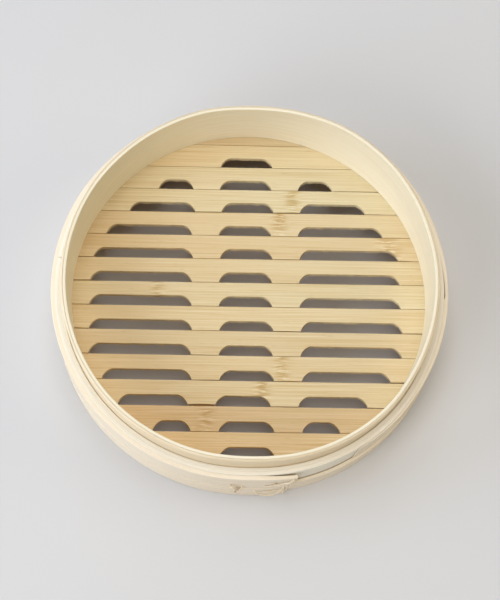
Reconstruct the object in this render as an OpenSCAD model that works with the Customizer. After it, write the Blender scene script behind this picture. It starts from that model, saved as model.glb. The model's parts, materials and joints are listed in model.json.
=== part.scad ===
// Bamboo steamer basket: one tier, with a slatted floor and no lid.
// Two nested hoops of bent bamboo hold the floor between them. The inner hoop stands
// up as a lip, and the outer hoop hangs below the floor as a skirt, so that the lip of
// one tier enters the skirt of the next. Origin at the centre of the base, +Z up, and
// the laced front of the basket faces -Y. Millimetres.

/* [Basket] */
// Clear diameter inside the inner hoop
inside_d = 280; // [200:1:360]
// Depth from the top face of the slats to the top of the lip
depth = 46.5; // [36:0.5:80]
// Height of the lip, which enters the tier or lid above
lip_h = 19; // [10:0.5:24]
// Height that the skirt is cut back for the lip of the tier below, beyond the lip's own
nest_gap = 0.5; // [0.2:0.1:2]
// Radial clearance between a lip and the skirt around it
nest_clearance = 1.4; // [0.8:0.1:2]

/* [Hoops and bands] */
// Thickness of each of the inner hoop's two plies
inner_ply_t = 2.2; // [1.6:0.1:3]
// Thickness of each of the outer hoop's two plies
outer_ply_t = 2.8; // [2.4:0.1:4]
// Depth that the inner hoop's outer ply is shaved where it stands up as the lip
lip_shave = 0.7; // [0.1:0.1:1]
// Thickness of the two bands around the outside
band_t = 3.4; // [2:0.1:5]
// Height of the lower band
lower_band_h = 26; // [20:0.5:32]
// Gap between the lower and the upper band
band_gap = 0.3; // [0.1:0.1:1]
// How far the upper band stops below the shoulder
band_drop = 1; // [0:0.5:4]
// Gap between one bent ply and the next
ply_gap = 0.1; // [0.05:0.05:0.3]
// Chamfer along the edges of the plies and bands
edge_chamfer = 0.5; // [0.2:0.1:0.8]
// Gap between the two cut ends of each bent strip
strip_end_gap = 0.5; // [0.2:0.1:1.5]
// Lean of the cut through a strip's ends, in degrees from upright
strip_end_lean = 20; // [0:5:40]

/* [Slatted floor] */
// Number of notched slats between the two edge slats
slat_count = 13; // [5:1:21]
// Thickness of the slats
slat_t = 4.3; // [3:0.1:7]
// Gap between one slat and the next
slat_gap = 0.3; // [0.1:0.1:1]
// Width of the two edge slats at their widest
edge_slat_w = 12.4; // [6:0.2:24]
// How far the row of slats sits behind the centre of the hoops
slat_shift = 0.2; // [-3:0.1:3]
// Gap between the ends of the slats and the outer hoop
slat_end_gap = 0.2; // [0.1:0.1:1]

/* [Steam slots] */
// Depth of each notch in the front edge of a slat
slot_depth = 8.3; // [4:0.1:9.5]
// Width of the middle slots along their open edge
middle_slot_w = 42.4; // [24:0.2:60]
// Width of solid slat between a middle slot and a side slot, which hides a bar
web_w = 21.6; // [17:0.1:30]
// Run of the rounded end of a slot
slot_end_run = 8; // [3:0.5:10]
// How far the slots and the bars under them sit to the right of the middle
slot_shift = -2.5; // [-4:0.1:4]
// Distance from the inner hoop at which the longest side slots stop, measured sideways
slot_wall_margin = 16.6; // [12:0.1:40]
// Width of solid slat left around the ends of the other side slots, measured along a radius
slot_rim_margin = 11.9; // [10:0.1:30]
// Shortest side slot that is cut
slot_min_w = 20; // [18:1:60]

/* [Support bars] */
// Width of the two bars under the slats
bar_w = 15; // [8:0.5:16.5]
// Thickness of the bars
bar_t = 5.5; // [4.5:0.1:10]
// Gap between the bars and the lip of the tier below
bar_nest_gap = 0.2; // [0.1:0.1:2]
// Diameter of the pegs that hold the bars' ends to the outer hoop
peg_d = 2.4; // [1.6:0.1:3.2]
// Length of each peg inside its bar
peg_grip = 14; // [6:0.5:30]
// Radial clearance of a peg in its holes
peg_clearance = 0.05; // [0.02:0.01:0.2]

/* [Lacing] */
// Thickness of the bamboo peel that laces the bands
peel_t = 0.8; // [0.4:0.1:1]
// Width of the peel
peel_w = 2.2; // [1.2:0.1:3]
// Clearance of the peel in its holes
peel_clearance = 0.15; // [0.05:0.05:0.3]
// Sideways place of the left stitch, which ties the two bands together
left_stitch_x = -8.5; // [-20:0.5:-6]
// Sideways place of the two right stitches, near the free ends of the bands
right_stitch_x = 20; // [16:0.5:24]
// Sideways run and rise of the left stitch
left_stitch = [6, 8];
// Sideways run and rise of the upper right stitch
upper_stitch = [18, 11];
// Sideways run and rise of the lower right stitch
lower_stitch = [16, -5];

/* [Hidden] */
eps = 1;
$fn = 180;

// Heights, from the table up
skirt_h = lip_h + nest_gap;
bar_z = skirt_h + bar_nest_gap;
slat_z = bar_z + bar_t;
floor_z = slat_z + slat_t;
total_h = floor_z + depth;
shoulder_z = total_h - lip_h;
upper_band_z = lower_band_h + band_gap;
upper_band_top = shoulder_z - band_drop;

// Radii, from the inside out
inner_ply_r = inside_d / 2;
mid_ply_r = inner_ply_r + inner_ply_t + ply_gap;
inner_hoop_r = mid_ply_r + inner_ply_t;
lip_r = inner_hoop_r - lip_shave;
skirt_r = lip_r + nest_clearance;
outer_hoop_r = inner_hoop_r + ply_gap;
laced_ply_r = outer_hoop_r + outer_ply_t + ply_gap;
shell_r = laced_ply_r + outer_ply_t;
band_r = shell_r + ply_gap;
outside_r = band_r + band_t;

// Floor: the slats fill the circle between the two edge slats
slat_end_r = outer_hoop_r - slat_end_gap;
slat_pitch = (2 * slat_end_r - 2 * edge_slat_w) / slat_count;
first_joint_y = slat_end_r - edge_slat_w + slat_shift;
last_joint_y = first_joint_y - slat_count * slat_pitch;
bar_x = (middle_slot_w + web_w) / 2;
side_slot_x = middle_slot_w / 2 + web_w;
peg_z = bar_z + bar_t / 2;

// Where the ends of each bent strip meet, in degrees around +Z from +X
inner_ply_seam = -70;
mid_ply_seam = 55;
outer_ply_seam = -125;
laced_ply_seam = 174;
lower_band_seam = 94;

// The upper band's laced end, and how much of a full turn is left open from there to its other end
upper_band_laced_end = -77;
upper_band_open_turn = 57;

// Stitch places: azimuth and height of each stitch's middle
left_stitch_a = -90 + asin(left_stitch_x / outside_r);
right_stitch_a = -90 + asin(right_stitch_x / outside_r);
left_stitch_z = lower_band_h + band_gap / 2;
upper_stitch_z = (upper_band_z + upper_band_top) / 2 + 1;
lower_stitch_z = lower_band_h - 10;

function two_digits(n) = n < 10 ? str("0", n) : str(n);
function slat_name(i) = str("floor_slat_", two_digits(i));

// A ring whose outside and inside edges are chamfered
module eased_ring(r_in, r_out, z_low, z_high) {
    c = edge_chamfer;
    rotate_extrude()
        polygon([
            [r_in + c, z_low], [r_out - c, z_low], [r_out, z_low + c], [r_out, z_high - c],
            [r_out - c, z_high], [r_in + c, z_high], [r_in, z_high - c], [r_in, z_low + c]
        ]);
}

// The leaning cut where a bent strip's two ends meet
module strip_end_cut(azimuth, r_in, r_out, z_low, z_high) {
    reach = 2 * (z_high - z_low) + 4 * eps;
    rotate([0, 0, azimuth])
        translate([(r_in + r_out) / 2, 0, (z_low + z_high) / 2])
            rotate([strip_end_lean, 0, 0])
                cube([r_out - r_in + 2 * eps, strip_end_gap, reach], center = true);
}

module inner_hoop_inner_ply() {
    r_out = inner_ply_r + inner_ply_t;
    color([0.93, 0.87, 0.75]) difference() {
        eased_ring(inner_ply_r, r_out, floor_z, total_h);
        strip_end_cut(inner_ply_seam, inner_ply_r, r_out, floor_z, total_h);
    }
}

// The outer ply is full thickness behind the outer hoop and shaved above it as the lip
module inner_hoop_outer_ply() {
    c = edge_chamfer;
    color([0.91, 0.84, 0.71]) difference() {
        rotate_extrude()
            polygon([
                [mid_ply_r, floor_z], [inner_hoop_r, floor_z], [inner_hoop_r, shoulder_z],
                [lip_r, shoulder_z], [lip_r, total_h - c], [lip_r - c, total_h],
                [mid_ply_r, total_h]
            ]);
        strip_end_cut(mid_ply_seam, mid_ply_r, inner_hoop_r, floor_z, total_h);
    }
}

// The outer hoop's inner ply is thinned below the floor for the lip of the tier below
module outer_hoop_inner_ply() {
    c = edge_chamfer;
    r_out = outer_hoop_r + outer_ply_t;
    color([0.90, 0.83, 0.70]) difference() {
        rotate_extrude()
            polygon([
                [skirt_r + c, 0], [r_out, 0], [r_out, shoulder_z], [outer_hoop_r, shoulder_z],
                [outer_hoop_r, skirt_h], [skirt_r, skirt_h], [skirt_r, c]
            ]);
        strip_end_cut(outer_ply_seam, outer_hoop_r, r_out, 0, shoulder_z);
        peg_holes();
        stitches(peel_clearance);
    }
}

module outer_hoop_outer_ply() {
    c = edge_chamfer;
    color([0.93, 0.88, 0.77]) difference() {
        rotate_extrude()
            polygon([
                [laced_ply_r, 0], [shell_r, 0], [shell_r, shoulder_z - c],
                [shell_r - c, shoulder_z], [laced_ply_r, shoulder_z]
            ]);
        strip_end_cut(laced_ply_seam, laced_ply_r, shell_r, 0, shoulder_z);
        peg_holes();
        stitches(peel_clearance);
    }
}

module lower_band() {
    color([0.86, 0.79, 0.67]) difference() {
        eased_ring(band_r, outside_r, 0, lower_band_h);
        strip_end_cut(lower_band_seam, band_r, outside_r, 0, lower_band_h);
        stitches(peel_clearance);
    }
}

// The sector between the two ends of a strip that stops short of a full turn
module open_sector(azimuth, turn, z_low, z_high) {
    reach = 2 * outside_r;
    rotate([0, 0, azimuth])
        translate([0, 0, z_low - eps])
            linear_extrude(z_high - z_low + 2 * eps)
                polygon(concat([[0, 0]], [for (a = [0 : turn / 4 : turn]) reach * [cos(a), sin(a)]]));
}

// The upper band is laced at its front end and stops short of a full turn at the right
module upper_band() {
    color([0.87, 0.80, 0.68]) difference() {
        eased_ring(band_r, outside_r, upper_band_z, upper_band_top);
        open_sector(upper_band_laced_end, upper_band_open_turn, upper_band_z, upper_band_top);
        stitches(peel_clearance);
    }
}

// A notch with rounded ends, open along y = 0 and reaching slot_depth behind it
module slot_outline(x_low, x_high) {
    function along(a) = slot_end_run * (1 - pow(cos(a), 1.25));
    function across(a) = slot_depth * pow(sin(a), 1.25);
    polygon(concat(
        [[x_high, -eps], [x_low, -eps]],
        [for (a = [0 : 15 : 90]) [x_low + along(a), across(a)]],
        [for (a = [90 : -15 : 0]) [x_high - along(a), across(a)]]
    ));
}

// How far a side slot reaches, for a slat whose edge furthest from the centre is at y
function side_slot_end(y) =
    min(inner_ply_r - slot_wall_margin, sqrt(max(0, pow(slat_end_r - slot_rim_margin, 2) - y * y)));

// The notches of one slat, with their open edge at y_front
module slots(y_back, y_front) {
    end_x = side_slot_end(max(abs(y_back), abs(y_front)));
    translate([slot_shift, y_front, slat_z - eps]) linear_extrude(slat_t + 2 * eps) {
        slot_outline(-middle_slot_w / 2, middle_slot_w / 2);
        if (end_x - side_slot_x > slot_min_w) {
            slot_outline(side_slot_x, end_x);
            slot_outline(-end_x, -side_slot_x);
        }
    }
}

// The part of the floor's disc that lies between two joints
module floor_strip(y_back, y_front) {
    intersection() {
        translate([0, 0, slat_z]) cylinder(h = slat_t, r = slat_end_r);
        translate([-slat_end_r - eps, y_front + slat_gap / 2, slat_z - eps])
            cube([2 * slat_end_r + 2 * eps, y_back - y_front - slat_gap, slat_t + 2 * eps]);
    }
}

module floor_slat(i) {
    y_back = first_joint_y - (i - 1) * slat_pitch;
    y_front = y_back - slat_pitch;
    shade = 0.02 * (i % 3);
    color([0.87 - shade, 0.75 - shade, 0.56 - shade]) difference() {
        floor_strip(y_back, y_front);
        slots(y_back, y_front + slat_gap / 2);
    }
}

module back_edge_slat() {
    color([0.86, 0.74, 0.54]) floor_strip(slat_end_r + 2 * eps, first_joint_y);
}

module front_edge_slat() {
    color([0.86, 0.74, 0.54]) floor_strip(last_joint_y, -slat_end_r - 2 * eps);
}

// A bar under the slats, cut to the circle at both ends and drilled for its pegs
module support_bar(side) {
    color([0.82, 0.70, 0.50]) difference() {
        intersection() {
            translate([0, 0, bar_z]) cylinder(h = bar_t, r = slat_end_r);
            translate([slot_shift + side * bar_x - bar_w / 2, -slat_end_r, bar_z - eps])
                cube([bar_w, 2 * slat_end_r, bar_t + 2 * eps]);
        }
        peg_holes();
    }
}

// Four rods along Y through the outer hoop, from the outside in to the pegs' inner ends
module peg_rods(radius, trim) {
    for (side = [-1, 1], front = [-1, 1]) {
        peg_x = slot_shift + side * bar_x;
        inner_y = sqrt(pow(slat_end_r, 2) - pow(peg_x, 2)) - peg_grip - trim;
        translate([peg_x, front * inner_y, peg_z])
            rotate([-90 * front, 0, 0]) cylinder(h = outside_r, r = radius);
    }
}

module peg_holes() {
    intersection() {
        peg_rods(peg_d / 2 + peg_clearance, peg_clearance);
        cylinder(h = total_h, r = shell_r + 2 * ply_gap / 3);
    }
}

module bar_pegs() {
    color([0.80, 0.66, 0.45]) intersection() {
        peg_rods(peg_d / 2, 0);
        cylinder(h = total_h, r = shell_r);
    }
}

// One closed stitch of peel: a strap outside, a return between the plies and two legs
module stitch(azimuth, z, run_rise, grow) {
    half = norm(run_rise) / 2;
    width = peel_w + 2 * grow;
    thick = peel_t + 2 * grow;
    strap_x = outside_r + ply_gap / 2 - grow;
    return_x = sqrt(pow(laced_ply_r, 2) - pow(half + peel_t, 2)) - ply_gap / 2 - peel_t - grow;
    rotate([0, 0, azimuth]) translate([0, 0, z])
        rotate([atan2(run_rise[1], run_rise[0]), 0, 0]) {
            translate([strap_x, -half - thick / 2, -width / 2]) cube([thick, 2 * half + thick, width]);
            translate([return_x, -half - thick / 2, -width / 2]) cube([thick, 2 * half + thick, width]);
            for (side = [-1, 1])
                translate([return_x, side * half - thick / 2, -width / 2])
                    cube([strap_x + thick - return_x, thick, width]);
        }
}

module lacing_left(grow = 0) {
    color([0.89, 0.80, 0.62]) stitch(left_stitch_a, left_stitch_z, left_stitch, grow);
}

module lacing_right_upper(grow = 0) {
    color([0.89, 0.80, 0.62]) stitch(right_stitch_a, upper_stitch_z, upper_stitch, grow);
}

module lacing_right_lower(grow = 0) {
    color([0.89, 0.80, 0.62]) stitch(right_stitch_a, lower_stitch_z, lower_stitch, grow);
}

// The space that all three stitches need, with clearance on every side
module stitches(grow) {
    lacing_left(grow);
    lacing_right_upper(grow);
    lacing_right_lower(grow);
}

inner_hoop_inner_ply();
inner_hoop_outer_ply();
outer_hoop_inner_ply();
outer_hoop_outer_ply();
lower_band();
upper_band();
back_edge_slat();
front_edge_slat();
for (i = [1 : slat_count]) floor_slat(i);
support_bar(-1);  // support_bar_left
support_bar(1);  // support_bar_right
bar_pegs();
lacing_left();
lacing_right_upper();
lacing_right_lower();
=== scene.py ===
"""Bamboo steamer basket: the looks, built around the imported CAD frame.

Every bent strip, slat, bar and stitch is rebuilt as its own mesh with eased edges, tapered ends
and the small unevenness of hand-made bamboo. Lengths written with MM are millimetres.
"""

import json
import math
import random

import bpy
from mathutils import Matrix, Vector, noise


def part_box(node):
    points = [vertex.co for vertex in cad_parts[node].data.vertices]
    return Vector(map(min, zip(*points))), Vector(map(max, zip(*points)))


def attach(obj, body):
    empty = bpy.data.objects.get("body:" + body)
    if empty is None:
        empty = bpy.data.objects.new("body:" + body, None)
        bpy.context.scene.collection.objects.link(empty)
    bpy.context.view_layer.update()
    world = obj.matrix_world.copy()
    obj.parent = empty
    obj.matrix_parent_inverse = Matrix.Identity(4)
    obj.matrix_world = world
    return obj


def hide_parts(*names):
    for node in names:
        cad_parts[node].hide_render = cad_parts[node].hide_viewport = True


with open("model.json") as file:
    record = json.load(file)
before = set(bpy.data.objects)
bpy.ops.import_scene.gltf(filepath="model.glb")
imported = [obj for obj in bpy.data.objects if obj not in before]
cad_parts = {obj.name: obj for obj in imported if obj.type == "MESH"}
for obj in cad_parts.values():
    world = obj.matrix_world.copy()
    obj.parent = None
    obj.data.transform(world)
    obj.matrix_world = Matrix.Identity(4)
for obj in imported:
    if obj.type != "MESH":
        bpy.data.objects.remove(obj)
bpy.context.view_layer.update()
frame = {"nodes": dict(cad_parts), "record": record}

MM = 0.001

# ---------------------------------------------------------------- camera
CAMERA_AZIMUTH = math.radians(-5.21)
CAMERA_ELEVATION = math.radians(69.99)
CAMERA_ROLL = math.radians(5.86)
CAMERA_DISTANCE = 948.7 * MM
CAMERA_TARGET = Vector((0.5, -5.3, 32.3)) * MM
CAMERA_LENS = 72.04


def make_camera():
    az, el, roll = CAMERA_AZIMUTH, CAMERA_ELEVATION, CAMERA_ROLL
    back = Vector((math.sin(az) * math.cos(el), -math.cos(az) * math.cos(el), math.sin(el)))
    level = Vector((math.cos(az), math.sin(az), 0))
    rise = back.cross(level)
    right = math.cos(roll) * level + math.sin(roll) * rise
    up = -math.sin(roll) * level + math.cos(roll) * rise
    place = CAMERA_TARGET + back * CAMERA_DISTANCE
    data = bpy.data.cameras.new("camera")
    data.lens = CAMERA_LENS
    camera = bpy.data.objects.new("camera", data)
    bpy.context.scene.collection.objects.link(camera)
    columns = Matrix((right, up, back)).transposed()
    camera.matrix_world = Matrix.Translation(place) @ columns.to_4x4()
    bpy.context.scene.camera = camera


make_camera()

# ---------------------------------------------------------------- sizes, taken from the frame
INSIDE_R = 140 * MM
PLY_GAP = 0.1 * MM
inner_ply_low, inner_ply_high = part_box("inner_hoop_inner_ply")
FLOOR_Z = inner_ply_low.z
TOP_Z = inner_ply_high.z
INNER_PLY_R = inner_ply_high.x
INNER_HOOP_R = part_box("inner_hoop_outer_ply")[1].x
LIP_R = frame["record"]["mounts"][0]["dims"]["r_mm"] * MM
SKIRT_R = frame["record"]["mounts"][1]["dims"]["r_mm"] * MM
MIDDLE_PLY_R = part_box("outer_hoop_inner_ply")[1].x
SHELL_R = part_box("outer_hoop_outer_ply")[1].x
SHOULDER_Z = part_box("outer_hoop_outer_ply")[1].z
LOWER_BAND_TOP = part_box("lower_band")[1].z
UPPER_BAND_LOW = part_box("upper_band")[0].z
UPPER_BAND_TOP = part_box("upper_band")[1].z
OUTSIDE_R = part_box("lower_band")[1].x
SLAT_END_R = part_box("floor_slat_07")[1].x
BAR_NEST_GAP = 0.2 * MM
SKIRT_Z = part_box("support_bar_left")[0].z - BAR_NEST_GAP
SLATS = sorted(n for n in frame["nodes"] if n.startswith("floor_slat_"))


# ---------------------------------------------------------------- materials
class Shader:
    """A node tree being built: each method adds one node and returns its output socket."""

    def __init__(self, name):
        self.material = bpy.data.materials.new(name)
        self.material.use_nodes = True
        self.tree = self.material.node_tree
        self.tree.nodes.clear()
        self.geometry = self.add("ShaderNodeNewGeometry")
        self.position = self.add("ShaderNodeTexCoord").outputs["Object"]

    def add(self, kind):
        return self.tree.nodes.new(kind)

    def put(self, socket, value):
        if isinstance(value, bpy.types.NodeSocket):
            self.tree.links.new(value, socket)
        else:
            socket.default_value = value

    def math(self, operation, a, b=0.0):
        node = self.add("ShaderNodeMath")
        node.operation = operation
        self.put(node.inputs[0], a)
        self.put(node.inputs[1], b)
        return node.outputs[0]

    def split(self, vector):
        node = self.add("ShaderNodeSeparateXYZ")
        self.put(node.inputs[0], vector)
        return node.outputs

    def join(self, x, y, z):
        node = self.add("ShaderNodeCombineXYZ")
        for socket, value in zip(node.inputs, (x, y, z)):
            self.put(socket, value)
        return node.outputs[0]

    def noise(self, vector, detail=3.0, roughness=0.55, distortion=0.0):
        node = self.add("ShaderNodeTexNoise")
        self.put(node.inputs["Vector"], vector)
        node.inputs["Scale"].default_value = 1.0
        node.inputs["Detail"].default_value = detail
        node.inputs["Roughness"].default_value = roughness
        node.inputs["Distortion"].default_value = distortion
        return node.outputs["Fac"]

    def band(self, value, low, high, to_low=0.0, to_high=1.0):
        node = self.add("ShaderNodeMapRange")
        node.clamp = True
        self.put(node.inputs["Value"], value)
        for key, number in zip(("From Min", "From Max", "To Min", "To Max"), (low, high, to_low, to_high)):
            node.inputs[key].default_value = number
        return node.outputs["Result"]

    def mix(self, share, a, b, blend="MIX"):
        node = self.add("ShaderNodeMix")
        node.data_type = "RGBA"
        node.blend_type = blend
        node.clamp_factor = True
        self.put(node.inputs["Factor"], share)
        self.put(node.inputs[6], a)
        self.put(node.inputs[7], b)
        return node.outputs[2]

    def gauss(self, value, width):
        """A bell curve of a value around zero."""
        away = self.math("DIVIDE", value, width)
        return self.math("POWER", 2.718, self.math("MULTIPLY", self.math("MULTIPLY", away, away), -1.0))

    def bump(self, height, strength, distance):
        node = self.add("ShaderNodeBump")
        node.inputs["Strength"].default_value = strength
        node.inputs["Distance"].default_value = distance
        self.put(node.inputs["Height"], height)
        return node.outputs["Normal"]

    def finish(self, colour, roughness, normal, sheen=0.0):
        surface = self.add("ShaderNodeBsdfPrincipled")
        self.put(surface.inputs["Base Color"], colour)
        self.put(surface.inputs["Roughness"], roughness)
        self.put(surface.inputs["Normal"], normal)
        surface.inputs["Specular IOR Level"].default_value = 0.35
        surface.inputs["Sheen Weight"].default_value = sheen
        output = self.add("ShaderNodeOutputMaterial")
        self.tree.links.new(surface.outputs[0], output.inputs["Surface"])
        return self.material


def colour(red, green, blue):
    """An sRGB colour of 0 to 255 as linear numbers."""
    def linear(c):
        c /= 255
        return c / 12.92 if c <= 0.04045 else ((c + 0.055) / 1.055) ** 2.4
    return (linear(red), linear(green), linear(blue), 1.0)


def shade(base, red, green, blue):
    """The base colour with some sRGB steps added to each channel."""
    return colour(*(min(255, max(0, c + step)) for c, step in zip(base, (red, green, blue))))


# What the tone is multiplied by at a slat's right end as painted cool light, at its left end as painted
# warm shade, and on undersides as painted warm shade
PAINTED_COOL_LIGHT_END = (1.0, 1.05, 1.09, 1.0)
PAINTED_WARM_SHADE_END = (1.06, 1.0, 0.93, 1.0)
PAINTED_UNDERSIDE_SHADE = (1.0, 0.76, 0.42, 1.0)


def slat_material(name, base, offset, nodes=()):
    """Planed bamboo with its fibres along X. nodes lists (place, width, boldness) of the culm's nodes."""
    s = Shader(name)
    x, y, z = s.split(s.position)
    across = s.math("ADD", y, s.math("MULTIPLY", z, 0.8))

    def along(x_scale, y_scale, shift, detail, roughness=0.55, distortion=0.0):
        """Noise stretched along the fibres, which wander a little."""
        vector = s.join(s.math("MULTIPLY", x, x_scale), s.math("MULTIPLY", wander, y_scale), offset + shift)
        return s.noise(vector, detail, roughness, distortion)

    wander = across
    drift = along(9, 30, 5, 2)
    wander = s.math("ADD", across, s.math("MULTIPLY", s.math("SUBTRACT", drift, 0.5), 1.2 * MM))
    fibre = along(11, 1150, 0, 4, 0.6)
    strand = along(5, 260, 7, 3, 0.5)
    patch = along(7, 45, 13, 2)
    fleck = along(90, 2300, 3, 1)
    tone = s.mix(s.band(fibre, 0.36, 0.66), shade(base, -17, -24, -32), shade(base, 9, 10, 14))
    tone = s.mix(s.band(strand, 0.3, 0.75, 0.0, 0.5), tone, shade(base, -4, -9, -15))
    tone = s.mix(s.band(patch, 0.35, 0.7, 0.0, 0.55), tone, shade(base, 2, 3, 4))
    tone = s.mix(s.band(fleck, 0.68, 0.76, 0.0, 0.4), tone, shade(base, -52, -62, -66))
    height = s.math("ADD", fibre, s.math("MULTIPLY", strand, 0.6))
    for place, width, boldness in nodes:
        bend = s.noise(s.join(0.0, s.math("MULTIPLY", across, 170), offset + 21), 2)
        shift = s.math("MULTIPLY", s.math("SUBTRACT", bend, 0.5), 9 * MM)
        mask = s.gauss(s.math("ADD", s.math("SUBTRACT", x, place), shift), width)
        knot = along(60, 620, 31, 3, 0.6, 0.8)
        dark = s.math("MULTIPLY", mask, s.band(knot, 0.42, 0.58, 0.0, boldness))
        tone = s.mix(dark, tone, shade(base, -32, -46, -62))
        pale = s.math("MULTIPLY", mask, s.band(knot, 0.5, 0.36, 0.0, 0.8))
        tone = s.mix(pale, tone, shade(base, 12, 16, 22))
        height = s.math("ADD", height, s.math("MULTIPLY", s.math("MULTIPLY", mask, knot), 1.6))
    # Painted light and shade: the right half of each slat turns cooler as if lit, the left half warmer as
    # if in warm shade
    tone = s.mix(s.band(x, -120 * MM, 120 * MM, 0.0, 0.5), tone, s.mix(1.0, tone, PAINTED_COOL_LIGHT_END, "MULTIPLY"))
    tone = s.mix(s.band(x, 20 * MM, -130 * MM, 0.0, 0.5), tone, s.mix(1.0, tone, PAINTED_WARM_SHADE_END, "MULTIPLY"))
    worn = s.band(s.geometry.outputs["Pointiness"], 0.53, 0.62, 0.0, 0.45)
    tone = s.mix(worn, tone, shade(base, 18, 20, 26))
    # Painted shade: faces that look down are darkened and warmed, which also warms the light they bounce
    underside_shade = s.band(s.split(s.geometry.outputs["Normal"])[2], -0.2, -0.6)
    tone = s.mix(underside_shade, tone, s.mix(1.0, tone, PAINTED_UNDERSIDE_SHADE, "MULTIPLY"))
    return s.finish(tone, s.band(fibre, 0.3, 0.7, 0.62, 0.48), s.bump(height, 0.35, 0.12 * MM))


# Where a strip gets the painted underside shade: below these heights and inside these radii, each a soft
# step
SHADE_HEIGHTS = (26 * MM, 22 * MM)
SHADE_RADII = (146.6 * MM, 146.0 * MM)


def strip_material(name, base, grain, mottle, offset):
    """A bent strip: its fibres run around Z on the walls and the top edges alike."""
    s = Shader(name)
    x, y, z = s.split(s.position)
    radius = s.math("SQRT", s.math("ADD", s.math("MULTIPLY", x, x), s.math("MULTIPLY", y, y)))
    level = s.math("ADD", z, s.math("MULTIPLY", radius, 1.37))
    drift = s.join(s.math("MULTIPLY", x, 12), s.math("MULTIPLY", y, 12), s.math("MULTIPLY", level, 25))
    slow = s.noise(drift, 2)
    wander = s.math("ADD", level, s.math("MULTIPLY", s.math("SUBTRACT", slow, 0.5), 1.5 * MM))

    def around(along, across, shift, detail=3, roughness=0.55):
        vector = s.join(s.math("MULTIPLY", x, along), s.math("MULTIPLY", y, along),
                        s.math("ADD", s.math("MULTIPLY", wander, across), offset + shift))
        return s.noise(vector, detail, roughness)

    fibre = around(16, 1500, 0, 4, 0.6)
    strand = around(9, 330, 11)
    patch = around(14, 60, 5, 2)
    fleck = around(80, 2600, 17, 1)
    g = grain
    dark = shade(base, -g, -1.25 * g, -1.6 * g)
    pale = shade(base, 0.5 * g, 0.55 * g, 0.7 * g)
    tone = s.mix(s.band(fibre, 0.34, 0.64), dark, pale)
    tone = s.mix(s.band(strand, 0.3, 0.72, 0.0, 0.5), tone, shade(base, -0.4 * g, -0.6 * g, -0.9 * g))
    tone = s.mix(s.band(patch, 0.35, 0.7, 0.0, mottle), tone, shade(base, -8, -12, -16))
    tone = s.mix(s.band(fleck, 0.7, 0.78, 0.0, 0.3), tone, shade(base, -45, -55, -60))
    worn = s.band(s.geometry.outputs["Pointiness"], 0.53, 0.64, 0.0, 0.4)
    tone = s.mix(worn, tone, shade(base, 12, 13, 16))
    # Painted shade: the skirt's inside below the floor is darkened and warmed like an underside
    below_shade = s.math("MULTIPLY", s.band(z, *SHADE_HEIGHTS), s.band(radius, *SHADE_RADII))
    tone = s.mix(below_shade, tone, s.mix(1.0, tone, PAINTED_UNDERSIDE_SHADE, "MULTIPLY"))
    height = s.math("ADD", fibre, s.math("MULTIPLY", strand, 0.7))
    return s.finish(tone, s.band(strand, 0.3, 0.7, 0.6, 0.48), s.bump(height, 0.3, 0.1 * MM))


def peel_material():
    """Flat bamboo peel, twisted and paler where it is split."""
    s = Shader("lacing_peel")
    x, y, z = s.split(s.position)
    along = s.join(s.math("MULTIPLY", x, 300), s.math("MULTIPLY", y, 900), s.math("MULTIPLY", z, 1400))
    fibre = s.noise(along, 4, 0.6)
    broad = s.join(s.math("MULTIPLY", x, 90), s.math("MULTIPLY", y, 90), s.math("MULTIPLY", z, 90))
    patch = s.noise(broad, 2)
    tone = s.mix(s.band(fibre, 0.35, 0.65), colour(206, 184, 150), colour(243, 231, 208))
    tone = s.mix(s.band(patch, 0.4, 0.65, 0.0, 0.5), tone, colour(222, 202, 166))
    return s.finish(tone, s.band(fibre, 0.3, 0.7, 0.55, 0.42), s.bump(fibre, 0.4, 0.1 * MM))


def floor_material():
    """The pale table, with a faint unevenness."""
    s = Shader("table")
    x, y, z = s.split(s.position)
    cloud = s.noise(s.join(s.math("MULTIPLY", x, 2.5), s.math("MULTIPLY", y, 2.5), z), 2)
    tone = s.mix(cloud, colour(206, 204, 202), colour(210, 208, 205))
    grain = s.noise(s.join(s.math("MULTIPLY", x, 700), s.math("MULTIPLY", y, 700), z), 2)
    return s.finish(tone, 0.85, s.bump(grain, 0.05, 0.1 * MM))


# ---------------------------------------------------------------- mesh helpers
def mesh_piece(name, verts, faces, material, slot, *nodes):
    """A smooth-shaded mesh that rides on the basket and stands for the given CAD nodes."""
    mesh = bpy.data.meshes.new(name)
    mesh.from_pydata([tuple(v) for v in verts], [], faces)
    mesh.validate()
    mesh.materials.append(material)
    for polygon in mesh.polygons:
        polygon.use_smooth = True
    mesh.set_sharp_from_angle(angle=math.radians(50))
    piece = bpy.data.objects.new(name, mesh)
    bpy.context.scene.collection.objects.link(piece)
    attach(piece, "root")
    if nodes:
        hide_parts(*nodes)
    return piece


def rounded_loop(corners):
    """A closed loop through (r, z, ease) corners, each eased between two support points."""
    loop = []
    count = len(corners)
    for k, (r, z, ease) in enumerate(corners):
        here = Vector((r, z))
        before = (Vector(corners[k - 1][:2]) - here).normalized()
        after = (Vector(corners[(k + 1) % count][:2]) - here).normalized()
        support = 0.2 * MM
        loop.append(here + before * (ease + support))
        for share in (0.0, 0.25, 0.5, 0.75, 1.0):
            start, end = here + before * ease, here + after * ease
            loop.append(start.lerp(here, share).lerp(here.lerp(end, share), share))
        loop.append(here + after * (ease + support))
    return loop


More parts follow.
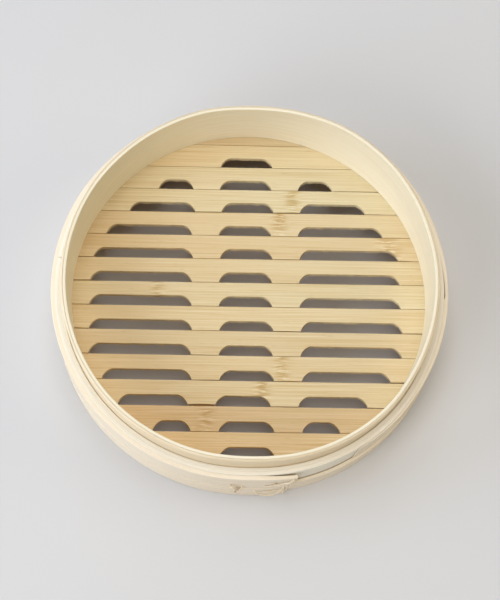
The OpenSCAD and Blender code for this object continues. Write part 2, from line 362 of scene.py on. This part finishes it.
def sweep_strip(start, stop, step, section, flare, lean=0.0):
    """Sweeps section(degrees), a loop of (r, z), around Z from start to stop, with closed leaning ends."""
    count = max(2, int(abs(stop - start) / step))
    middle = sum(p.y for p in section(start)) / len(section(start))
    verts, faces = [], []
    for k in range(count + 1):
        degrees = start + (stop - start) * k / count
        for p in section(degrees):
            angle = math.radians(degrees) - math.tan(math.radians(lean)) * (p.y - middle) / p.x
            r = p.x + flare(math.degrees(angle), p.y)
            verts.append(Vector((r * math.cos(angle), r * math.sin(angle), p.y)))
    size = len(verts) // (count + 1)
    for k in range(count):
        for i in range(size):
            j = (i + 1) % size
            a, b = k * size, (k + 1) * size
            faces.append((a + i, b + i, b + j, a + j))
    faces.append(tuple(range(size)))
    faces.append(tuple(reversed(range(count * size, (count + 1) * size))))
    if stop > start:
        faces = [tuple(reversed(f)) for f in faces]
    return verts, faces


# How far the rim stands outside a true circle, in millimetres, every 15 degrees around from +X
RIM_BULGE = (0.3, 0.7, 2.3, 3.4, 3.6, 1.7, 0.2, 1.3, 0.8, 0.5, 0.5, 0.0,
             0.0, 0.1, 0.5, 1.1, 1.2, 1.0, 0.25, 1.4, 2.3, 2.3, 0.8, 0.1)


def bulge(degrees):
    """The rim's bulge at an azimuth: a closed smooth curve through RIM_BULGE."""
    place = degrees / 360 * len(RIM_BULGE)
    k, t = math.floor(place), place - math.floor(place)
    a, b, c, d = (RIM_BULGE[(k + i) % len(RIM_BULGE)] for i in (-1, 0, 1, 2))
    cubic = 2 * b + (c - a) * t + (2 * a - 5 * b + 4 * c - d) * t * t + (3 * b - a - 3 * c + d) * t ** 3
    return max(0.0, 0.5 * cubic) * MM


def inner_flare(degrees, z):
    """The inner hoop's bulge, which grows from nothing at the floor to all of it at the rim."""
    share = max(0.0, (z - FLOOR_Z) / (TOP_Z - FLOOR_Z))
    return bulge(degrees) * share ** 0.7


# The back's own bulge on the outer hoop and the bands: its azimuth and spread in degrees, and its size
BACK_BULGE_AT = 88
BACK_BULGE_SPREAD = 13
BACK_BULGE = 1.7 * MM


def outer_flare(degrees, z):
    """The outer hoop's and the bands' bulge: a share of the rim's that grows upwards, plus the back's."""
    behind = math.exp(-((degrees % 360 - BACK_BULGE_AT) / BACK_BULGE_SPREAD) ** 2)
    return bulge(degrees) * (0.35 + 0.4 * z / SHOULDER_Z) + BACK_BULGE * behind


def edge_wave(degrees, seed, size):
    """A slow unevenness of a strip's edge."""
    angle = math.radians(degrees)
    return size * noise.noise(Vector((2.2 * math.cos(angle), 2.2 * math.sin(angle), seed)))


# ---------------------------------------------------------------- hoops
SEAM_LEAN = 20
# The azimuths between which the upper band stands off the shell at the back, and how far
BACK_GAP = (84.5, 88.8)
BACK_GAP_W = 0.8 * MM
# Where the shell's two ends meet at half its height; the lean brings the top mark to 172.7 degrees
SHELL_SEAM = 176.9
# Half the opening between a strip's two ends in degrees: closed to the eye, and the shell's
CLOSED_GAP = 0.01
SHELL_GAP = 0.13


def make_hoops():
    lining = strip_material("lining_bamboo", (240, 230, 203), 9, 0.25, 0.0)
    lip = strip_material("lip_bamboo", (234, 216, 183), 12, 0.3, 4.0)
    shoulder = strip_material("shoulder_bamboo", (240, 232, 213), 10, 0.3, 9.0)

    def inner_ply(d):
        top = TOP_Z + edge_wave(d, 1.0, 0.2 * MM)
        return rounded_loop([(INSIDE_R, FLOOR_Z, 0.3 * MM), (INNER_PLY_R, FLOOR_Z, 0.3 * MM),
                             (INNER_PLY_R, top, 0.2 * MM), (INSIDE_R, top, 0.7 * MM)])

    def outer_ply(d):
        top = TOP_Z - 0.1 * MM + edge_wave(d, 2.0, 0.25 * MM)
        r_in, r_lip = INNER_PLY_R + PLY_GAP, LIP_R + 0.3 * MM
        return rounded_loop([(r_in, FLOOR_Z, 0.2 * MM), (INNER_HOOP_R, FLOOR_Z, 0.2 * MM),
                             (INNER_HOOP_R, SHOULDER_Z - 0.8 * MM, 0.1 * MM),
                             (r_lip, SHOULDER_Z - 0.4 * MM, 0.1 * MM), (r_lip, top - 1.3 * MM, 0.5 * MM),
                             (r_lip - 1.1 * MM, top, 0.3 * MM), (r_in, top, 0.15 * MM)])

    def skirt_ply(d):
        top = SHOULDER_Z + edge_wave(d, 3.0, 0.2 * MM)
        r_in, r_out = INNER_HOOP_R + PLY_GAP, MIDDLE_PLY_R
        return rounded_loop([(SKIRT_R, 0, 0.5 * MM), (r_out, 0, 0.3 * MM), (r_out, top, 0.15 * MM),
                             (r_in, top, 0.5 * MM), (r_in, SKIRT_Z + 0.3 * MM, 0.1 * MM),
                             (SKIRT_R, SKIRT_Z - 0.3 * MM, 0.1 * MM)])

    def shell_ply(d):
        top = SHOULDER_Z - 0.05 * MM + edge_wave(d, 4.0, 0.25 * MM)
        r_in, r_out = MIDDLE_PLY_R + PLY_GAP / 2, SHELL_R
        if BACK_GAP[0] < d % 360 < BACK_GAP[1]:
            r_out -= BACK_GAP_W * ((d % 360 - BACK_GAP[0]) / (BACK_GAP[1] - BACK_GAP[0])) ** 0.6
        return rounded_loop([(r_in, 0, 0.3 * MM), (r_out, 0, 0.4 * MM),
                             (r_out, top, 0.7 * MM), (r_in, top, 0.15 * MM)])

    for name, section, material, seam, gap, flare in (
        ("inner_hoop_inner_ply", inner_ply, lining, -70, CLOSED_GAP, inner_flare),
        ("inner_hoop_outer_ply", outer_ply, lip, 55, CLOSED_GAP, inner_flare),
        ("outer_hoop_inner_ply", skirt_ply, shoulder, -125, CLOSED_GAP, outer_flare),
        ("outer_hoop_outer_ply", shell_ply, shoulder, SHELL_SEAM, SHELL_GAP, outer_flare),
    ):
        verts, faces = sweep_strip(seam + gap, seam + 360 - gap, 0.9, section, flare, SEAM_LEAN)
        mesh_piece(name + "_strip", verts, faces, material, "hoop_bamboo", name)


# ---------------------------------------------------------------- bands
BAND_T = 3.2 * MM
BAND_END_LEAN = -5
BAND_R = SHELL_R + 0.02 * MM
# The upper band stops short of a full turn: its ends' azimuths at the right and, laced, at the front
UPPER_FREE_END = -58.0
UPPER_SKIVE = 48.0
# Where the gap behind the band opens suddenly, and where it has closed again
UPPER_GAP = (-4.6, 16.0)
UPPER_LACED_END = -77.0 + 360
# The lower band laps over its own skived start: azimuths of the start and of the laced end on top of it
LOWER_START = -159.0
LOWER_LACED_END = -79.0
# Seeds of each band's edge wave and grain
UPPER_SEED = 31.0
LOWER_SEED = 23.0


def band_loop(degrees, lift, thick, low, top, seed):
    """A band's cross-section, with the outside edges eased more than the inside ones."""
    w = BAND_R + lift
    top += edge_wave(degrees, seed, 0.4 * MM)
    low += edge_wave(degrees, seed + 5, 0.3 * MM) if low > 1 * MM else 0.0
    ease = min(0.8 * MM, 0.42 * thick)
    small = 0.08 * MM
    return rounded_loop([(w, low, small), (w + thick, low, ease), (w + thick, top, ease), (w, top, small)])


def near_end(distance, reach):
    """1 at a strip's end, falling to 0 at reach degrees from it."""
    return max(0.0, 1 - distance / reach)


def upper_section(degrees):
    """Skived at the free end, with a gap behind the band near it; the laced end stands off and droops."""
    free = near_end(degrees - UPPER_FREE_END, UPPER_SKIVE)
    laced = near_end(UPPER_LACED_END - degrees, 12)
    gap = near_end(degrees - UPPER_GAP[0], UPPER_GAP[1] - UPPER_GAP[0]) if degrees > UPPER_GAP[0] else 0.0
    lift = 0.7 * MM * gap ** 1.3 + 1.5 * MM * laced ** 1.4
    thick = BAND_T - lift * (gap > 0) - 0.7 * MM * laced ** 2 - 2.6 * MM * free
    top = UPPER_BAND_TOP - 3.5 * MM * laced ** 1.5 - 0.6 * MM * free
    return band_loop(degrees, lift, thick, UPPER_BAND_LOW, top, UPPER_SEED)


def lower_section(degrees):
    """A thin start, a full turn, and the skived laced end over the start."""
    lap = LOWER_LACED_END - LOWER_START

    def start_thick(d):
        return (0.6 + 1.6 * min(1.0, max(0.0, (d - LOWER_START) / lap))) * MM

    if degrees < LOWER_LACED_END:
        lift, thick, top = 0.0, start_thick(degrees), LOWER_BAND_TOP - 0.4 * MM
    elif degrees < LOWER_START + 360:
        lift, top = 0.0, LOWER_BAND_TOP
        thick = 2.2 * MM + (BAND_T - 2.2 * MM) * min(1.0, (degrees - LOWER_LACED_END) / 50)
    else:
        laced = near_end(LOWER_LACED_END + 360 - degrees, 14)
        lift = start_thick(degrees - 360) + 0.05 * MM + 0.5 * MM * laced ** 1.5
        thick = BAND_T - 1.8 * MM * (degrees - LOWER_START - 360) / lap
        top = LOWER_BAND_TOP - 0.9 * MM * laced
    return band_loop(degrees, lift, thick, 0.0, top, LOWER_SEED)


def make_bands():
    for name, section, start, stop, base, seed in (
        ("upper_band", upper_section, UPPER_FREE_END, UPPER_LACED_END, (240, 227, 203), UPPER_SEED),
        ("lower_band", lower_section, LOWER_START, LOWER_LACED_END + 360, (240, 226, 202), LOWER_SEED),
    ):
        material = strip_material(name + "_bamboo", base, 12, 0.4, seed)
        verts, faces = sweep_strip(start, stop, 0.9, section, outer_flare, BAND_END_LEAN)
        mesh_piece(name + "_strip", verts, faces, material, "band_bamboo", name)


# ---------------------------------------------------------------- floor
SLOT_DEPTH = 8.3 * MM
SLOT_RUN = 8 * MM
MIDDLE_HALF = 21.2 * MM
SIDE_SLOT_X = 42.8 * MM
SLOT_SHIFT = -2.5 * MM
WALL_MARGIN = 16.6 * MM
RIM_MARGIN = 11.9 * MM
SLOT_MIN = 20 * MM
SLAT_GAP = 0.3 * MM


def slot_ends(y_back, y_front):
    """(low x, high x) of each slot of a slat, from left to right."""
    far = max(abs(y_back), abs(y_front))
    end = min(INSIDE_R - WALL_MARGIN, math.sqrt(max(0.0, (SLAT_END_R - RIM_MARGIN) ** 2 - far ** 2)))
    middle = [(-MIDDLE_HALF, MIDDLE_HALF)]
    if end - SIDE_SLOT_X < SLOT_MIN:
        return middle
    return [(-end, -SIDE_SLOT_X), *middle, (SIDE_SLOT_X, end)]


def line(a, b, step):
    """Points from a up to, but not including, b."""
    count = max(1, round((b - a).length / step))
    return [a.lerp(b, k / count) for k in range(count)]


def slot_curve(x_open, x_flat, y_open, depth):
    """The rounded end of a slot, from its open edge to its flat back."""
    run = x_flat - x_open
    points = []
    for k in range(9):
        a = math.radians(90 * k / 9)
        x = x_open + run * (1 - math.cos(a) ** 1.25)
        y = y_open + depth * math.sin(a) ** 1.25
        points.append(Vector((x, y)))
    return points


def slat_outline(y_back, y_front, slots, rng):
    """The slat seen from above, clockwise, with a flag at each point that lies on a slot's edge."""
    r = SLAT_END_R
    x_back, x_front = math.sqrt(max(0.0, r * r - y_back ** 2)), math.sqrt(max(0.0, r * r - y_front ** 2))
    points, cut = [], []

    def extend(new, is_cut):
        points.extend(new)
        cut.extend([is_cut] * len(new))

    def arc(y0, y1, side):
        a0, a1 = (math.asin(max(-1.0, min(1.0, y / r))) for y in (y0, y1))
        count = max(2, int(abs(a1 - a0) * r / (3 * MM)))
        steps = [a0 + (a1 - a0) * k / count for k in range(count)]
        return [Vector((side * r * math.cos(a), r * math.sin(a))) for a in steps]

    if x_back > 1 * MM:
        extend(line(Vector((-x_back, y_back)), Vector((x_back, y_back)), 4 * MM), False)
    extend(arc(y_back, y_front, 1), False)
    here = Vector((x_front, y_front))
    for low, high in reversed(slots):
        depth = SLOT_DEPTH + rng.uniform(-0.3, 0.3) * MM
        extend(line(here, Vector((high, y_front)), 4 * MM), False)
        right = slot_curve(high, high - SLOT_RUN, y_front, depth)
        left = slot_curve(low, low + SLOT_RUN, y_front, depth)
        back_right = Vector((high - SLOT_RUN, y_front + depth))
        back_left = Vector((low + SLOT_RUN, y_front + depth))
        extend([*right, *line(back_right, back_left, 2 * MM), back_left, *reversed(left[1:])], True)
        here = Vector((low, y_front))
    if x_front > 1 * MM:
        extend(line(here, Vector((-x_front, y_front)), 4 * MM), False)
    extend(arc(y_front, y_back, -1), False)
    return points, cut


def tilt_joints(points, y_back, y_front, tilt_back, tilt_front, seed):
    """Tilts a slat's two long edges by the tilts of its joints, and lets the gap at its front edge vary."""
    for p in points:
        share = min(1.0, max(0.0, (y_back - p.y) / (y_back - y_front)))
        tilt = tilt_back + (tilt_front - tilt_back) * share
        gap = max(0.0, noise.noise(Vector((p.x / MM * 0.011, seed * 3.7, 0.5)))) * 1.1 * MM
        for place, reach, extra in OPEN_JOINTS.get(seed + 2, ()):
            gap += extra * MM * math.exp(-((p.x / MM - place) / reach) ** 2)
        p.y += tilt * MM * p.x / (2 * INSIDE_R) + gap * share ** 4


def inward(points):
    """The unit inward direction at each point of a clockwise outline."""
    found = []
    count = len(points)
    for k in range(count):
        before = points[k] - points[k - 1]
        after = points[(k + 1) % count] - points[k]
        n = Vector((before.y, -before.x)).normalized() + Vector((after.y, -after.x)).normalized()
        length = max(n.length, 0.7)
        found.append(n / length if n.length > 1e-9 else Vector((0.0, 0.0)))
    return found


def eased_plate(points, cut, z_low, z_high, ease, rough, rng):
    """A flat plate of a clockwise outline, with eased top edges and ragged lower edges where it was cut."""
    normals = inward(points)
    levels = [(0.5, 0.0, 0.6), (0.3, 0.0, 1.0), (0.08, 0.09, 0.9), (0.0, 0.35, 0.6)]
    verts = []
    size = len(points)
    jitter = [rng.uniform(-1, 1) for _ in range(size)]

    def add(inset, z, raggedness):
        for k, p in enumerate(points):
            push = inset + (rough * raggedness * jitter[k] if cut[k] else 0.0)
            q = p + normals[k] * push
            verts.append(Vector((q.x, q.y, z)))

    for inset, rise, raggedness in levels:
        add(inset * MM, z_low + rise * MM, raggedness)
    add(0.0, z_high - ease * 1.3, 0.25)
    for share in (0.0, 0.3, 0.6, 0.85, 1.0):
        a = math.radians(90 * share)
        add(ease * (1 - math.cos(a)), z_high - ease * (1 - math.sin(a)), 0.12)
    add(ease + 0.2 * MM, z_high, 0.08)
    rows = len(verts) // size
    faces = []
    for row in range(rows - 1):
        for k in range(size):
            j = (k + 1) % size
            a, b = row * size, (row + 1) * size
            faces.append((a + k, b + k, b + j, a + j))
    faces.append(tuple(range(size)))
    faces.append(tuple(reversed(range((rows - 1) * size, rows * size))))
    return verts, faces


# How far each slat has slipped sideways, from the back slat to the front one
SLAT_SLIP = (-0.2, -0.9, 0.8, -1.2, 0.0, -0.5, -0.3, 0.5, 0.1, 1.0, -1.8, 1.0, 1.6)
# How much higher each joint between slats runs at the right than at the left
JOINT_TILT = (0.0, 0.6, 0.6, 0.8, 0.7, 0.6, 0.5, 0.2, -0.6, -0.5, -0.6, -0.5, -0.3, 0.0)
# (place along X, reach, extra width) in millimetres where the joint behind a slat stands open
OPEN_JOINTS = {6: [(112, 14, 0.7)], 7: [(-118, 16, 0.8)], 8: [(-112, 14, 0.7)],
               11: [(86, 14, 0.6)], 12: [(-34, 12, 0.6)]}
# (place along X, width, boldness) of the culm's node in the slats that have one
BAMBOO_NODES = {3: (35, 6, 0.9), 4: (24, 6, 0.95), 5: (112, 9, 0.8), 7: (-72, 6, 0.9), 10: (25, 6, 0.9),
                11: (10, 6, 0.95), 12: (-33, 6, 0.8)}
# (lightness, warmth) of each slat, from the back one to the front one
SLAT_TONES = ((1.09, -0.07), (1.03, -0.13), (1.03, -0.15), (1.0, -0.01), (0.99, 0.02),
              (1.0, -0.03), (1.01, -0.1), (1.02, -0.04), (0.97, 0.0), (1.01, 0.01),
              (1.02, -0.02), (0.95, 0.16), (1.05, 0.13))
SLAT_BASE = (218, 195, 150)


def toned(base, lightness, warmth):
    """The base colour lightened, and made warmer by taking away green and twice as much blue."""
    steps = (lightness, lightness * (1 - warmth / 2), lightness * (1 - warmth))
    return tuple(min(255, c * step ** (1 / 2.2)) for c, step in zip(base, steps))


def make_floor():
    rng = random.Random(11)
    for k, name in enumerate(SLATS):
        low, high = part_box(name)
        slip = SLOT_SHIFT + SLAT_SLIP[k] * MM
        slots = [(a + slip, b + slip) for a, b in slot_ends(high.y + SLAT_GAP / 2, low.y - SLAT_GAP / 2)]
        place = BAMBOO_NODES.get(k + 1)
        nodes = [(place[0] * MM, place[1] * MM, place[2])] if place else []
        material = slat_material(name + "_bamboo", toned(SLAT_BASE, *SLAT_TONES[k]), 40.0 + 9.7 * k, nodes)
        points, cut = slat_outline(high.y, low.y, slots, rng)
        tilt_joints(points, high.y, low.y, JOINT_TILT[k], JOINT_TILT[k + 1], k)
        top = high.z + rng.uniform(-0.12, 0.0) * MM
        verts, faces = eased_plate(points, cut, low.z, top, 0.45 * MM, 0.35 * MM, rng)
        mesh_piece(name + "_planed", verts, faces, material, "slat_bamboo", name)
    for k, name in enumerate(("back_edge_slat", "front_edge_slat")):
        low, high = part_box(name)
        y_back, y_front = (SLAT_END_R, low.y) if k == 0 else (high.y, -SLAT_END_R)
        material = slat_material(name + "_bamboo", SLAT_BASE, 15.0 + 6 * k)
        points, cut = slat_outline(y_back, y_front, [], rng)
        verts, faces = eased_plate(points, cut, low.z, high.z - 0.1 * MM, 0.4 * MM, 0.0, rng)
        mesh_piece(name + "_planed", verts, faces, material, "slat_bamboo", name)


def make_bars():
    rng = random.Random(5)
    material = slat_material("bar_bamboo", (196, 150, 96), 3.0)
    for name in ("support_bar_left", "support_bar_right"):
        low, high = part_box(name)
        r = SLAT_END_R
        points = []
        for y_side in (1, -1):
            xs = (low.x, high.x) if y_side > 0 else (high.x, low.x)
            for i in range(6):
                px = xs[0] + (xs[1] - xs[0]) * i / 5
                points.append(Vector((px, y_side * math.sqrt(r * r - px * px))))
        verts, faces = eased_plate(points, [False] * len(points), low.z, high.z, 0.5 * MM, 0.0, rng)
        mesh_piece(name + "_sawn", verts, faces, material, "bar_bamboo", name)
    pegs = frame["nodes"]["bar_pegs"]
    pegs.data.materials.clear()
    pegs.data.materials.append(slat_material("peg_bamboo", (190, 148, 98), 8.0))


# ---------------------------------------------------------------- lacing
def on_wall(x, z, proud):
    """A point on the bands' front, in millimetres: x along it, z up and proud out from the wall."""
    r = OUTSIDE_R + proud * MM
    x *= MM
    return Vector((x, -math.sqrt(r * r - x * x), z * MM))


def smooth_path(points, count):
    """A Catmull-Rom curve through the points."""
    padded = [points[0] * 2 - points[1], *points, points[-1] * 2 - points[-2]]
    path = []
    for k in range(1, len(padded) - 2):
        a, b, c, d = padded[k - 1:k + 3]
        for i in range(count):
            t = i / count
            square, cube = 2 * a - 5 * b + 4 * c - d, 3 * b - a - 3 * c + d
            path.append(0.5 * (2 * b + (c - a) * t + square * t * t + cube * t ** 3))
    path.append(points[-1])
    return path


def peel(path, width, thick, turns, verts, faces):
    """Sweeps a flat strand of peel along the path, with its flat side to the wall and a given twist."""
    sides = 10
    count = len(path)
    first = len(verts)
    for k, p in enumerate(path):
        ahead = (path[min(k + 1, count - 1)] - path[max(k - 1, 0)]).normalized()
        out = Vector((p.x, p.y, 0)).normalized()
        side = ahead.cross(out)
        side = side.normalized() if side.length > 1e-6 else Vector((0, 0, 1))
        out = side.cross(ahead)
        twist = 2 * math.pi * turns * k / (count - 1)
        taper = min(1.0, 0.55 + 0.45 * min(k, count - 1 - k) / 3)
        grain = 1 + 0.12 * noise.noise(Vector((k * 0.35, width / MM, turns)))
        for i in range(sides):
            a = 2 * math.pi * i / sides
            u = 0.5 * width * taper * grain * math.copysign(abs(math.cos(a)) ** 0.6, math.cos(a))
            v = 0.5 * thick * taper * math.copysign(abs(math.sin(a)) ** 0.6, math.sin(a))
            cu, cv = math.cos(twist) * u - math.sin(twist) * v, math.sin(twist) * u + math.cos(twist) * v
            verts.append(p + side * cu + out * cv)
    for k in range(count - 1):
        for i in range(sides):
            j = (i + 1) % sides
            a, b = first + k * sides, first + (k + 1) * sides
            faces.append((a + i, a + j, b + j, b + i))
    faces.append(tuple(reversed(range(first, first + sides))))
    faces.append(tuple(range(first + (count - 1) * sides, first + count * sides)))


def make_stitch(name, strands, material):
    """Each strand is (points as (x, z, proud), width, thickness, turns), in millimetres."""
    verts, faces = [], []
    for points, width, thick, turns in strands:
        path = smooth_path([on_wall(*p) for p in points], 6)
        peel(path, width * MM, thick * MM, turns, verts, faces)
    mesh_piece(name + "_peel", verts, faces, material, "lacing_peel", name)


def make_lacing():
    material = peel_material()
    make_stitch("lacing_left", [
        ([(-13.8, 33.0, -2.5), (-13.2, 35.5, 0.9), (-11.6, 37.0, 2.0), (-9.8, 34.5, 2.6), (-9.3, 30.0, 2.4),
          (-10.6, 26.0, 1.8), (-9.4, 22.5, 2.2), (-8.2, 25.0, 1.0)], 1.9, 0.9, 0.25),
        ([(-10.2, 29.0, 0.7), (-8.4, 26.0, 2.0), (-6.6, 28.5, 2.0), (-5.0, 33.0, 1.0),
          (-4.4, 34.5, -2.0)], 1.7, 0.9, -0.3),
    ], material)
    make_stitch("lacing_right_upper", [
        ([(11.5, 34.0, -2.5), (12.8, 35.0, 0.9), (17.5, 37.5, 1.5), (23.5, 42.5, 2.2), (28.5, 47.5, 2.9),
          (32.0, 50.5, 2.6), (33.8, 51.5, 0.5)], 2.1, 0.8, 0.12),
        ([(15.8, 41.5, 0.5), (16.6, 44.0, 0.9), (18.6, 45.0, 1.2), (20.2, 43.0, 1.3), (19.4, 40.2, 1.2),
          (17.2, 39.4, 0.9), (15.9, 41.0, 0.4)], 1.1, 0.7, 0.1),
        ([(33.0, 50.0, 1.8), (32.6, 44.0, 2.4), (31.8, 37.0, 2.2), (31.2, 30.0, 1.8),
          (30.2, 25.5, 0.6)], 1.5, 0.7, 0.1),
    ], material)
    make_stitch("lacing_right_lower", [
        ([(4.0, 20.0, -2.0), (6.0, 17.5, 1.6), (9.5, 15.5, 2.9), (14.0, 15.0, 3.6), (19.5, 17.0, 3.8),
          (23.5, 20.5, 3.0), (26.0, 24.0, 1.8), (27.0, 27.0, 0.2)], 1.8, 0.8, 0.15),
        ([(11.0, 18.5, 1.6), (16.0, 19.5, 2.2), (21.0, 21.5, 2.0), (25.5, 25.0, 1.4)], 1.4, 0.6, 0.1),
        ([(26.8, 25.5, 1.2), (27.4, 20.0, 2.0), (27.0, 13.0, 2.2), (27.4, 9.5, 1.8)], 1.4, 0.6, 0.3),
        ([(29.2, 25.0, 1.0), (29.6, 20.5, 1.8), (29.0, 16.5, 1.8)], 1.3, 0.6, -0.3),
    ], material)


# ---------------------------------------------------------------- stage
def make_stage():
    mesh = bpy.data.meshes.new("table")
    reach = 6.0
    corners = [(-reach, -reach, 0), (reach, -reach, 0), (reach, reach, 0), (-reach, reach, 0)]
    mesh.from_pydata(corners, [], [(0, 1, 2, 3)])
    mesh.materials.append(floor_material())
    table = bpy.data.objects.new("table", mesh)
    bpy.context.scene.collection.objects.link(table)


# Soft round lights 2.6 m away: azimuth from +X and elevation in degrees, watts, tint
LIGHT_DISTANCE = 2.6
LIGHT_SIZE = 1.6
LIGHTS = {
    "window": (180, 28, 29.6, (0.654, 0.793, 1.0)),
    "window_front": (225, 28, 33.7, (0.897, 0.922, 1.0)),
    "right_fill": (0, 28, 15.3, (1.0, 0.916, 0.72)),
    "back_low": (90, 28, 8.7, (0.646, 0.715, 1.0)),
    "back_high": (90, 60, 11.7, (0.954, 0.988, 1.0)),
    "overhead": (180, 89, 19.8, (1.0, 0.972, 0.989)),
}
ROOM_TINT = (1.0, 0.976, 0.886, 1.0)
ROOM_STRENGTH = 0.2455


def make_lights():
    for name, (azimuth, elevation, watts, tint) in LIGHTS.items():
        az, el = math.radians(azimuth), math.radians(elevation)
        away = Vector((math.cos(el) * math.cos(az), math.cos(el) * math.sin(az), math.sin(el)))
        data = bpy.data.lights.new(name, "AREA")
        data.shape = "DISK"
        data.size = LIGHT_SIZE
        data.energy = watts
        data.color = tint
        light = bpy.data.objects.new(name, data)
        light.location = away * LIGHT_DISTANCE
        light.rotation_euler = away.to_track_quat("Z", "Y").to_euler()
        bpy.context.scene.collection.objects.link(light)
    world = bpy.data.worlds.new("studio")
    world.use_nodes = True
    room = world.node_tree.nodes["Background"]
    room.inputs["Color"].default_value = ROOM_TINT
    room.inputs["Strength"].default_value = ROOM_STRENGTH
    bpy.context.scene.world = world
    bpy.context.scene.view_settings.view_transform = "Standard"


make_hoops()
make_bands()
make_floor()
make_bars()
make_lacing()
make_stage()
make_lights()
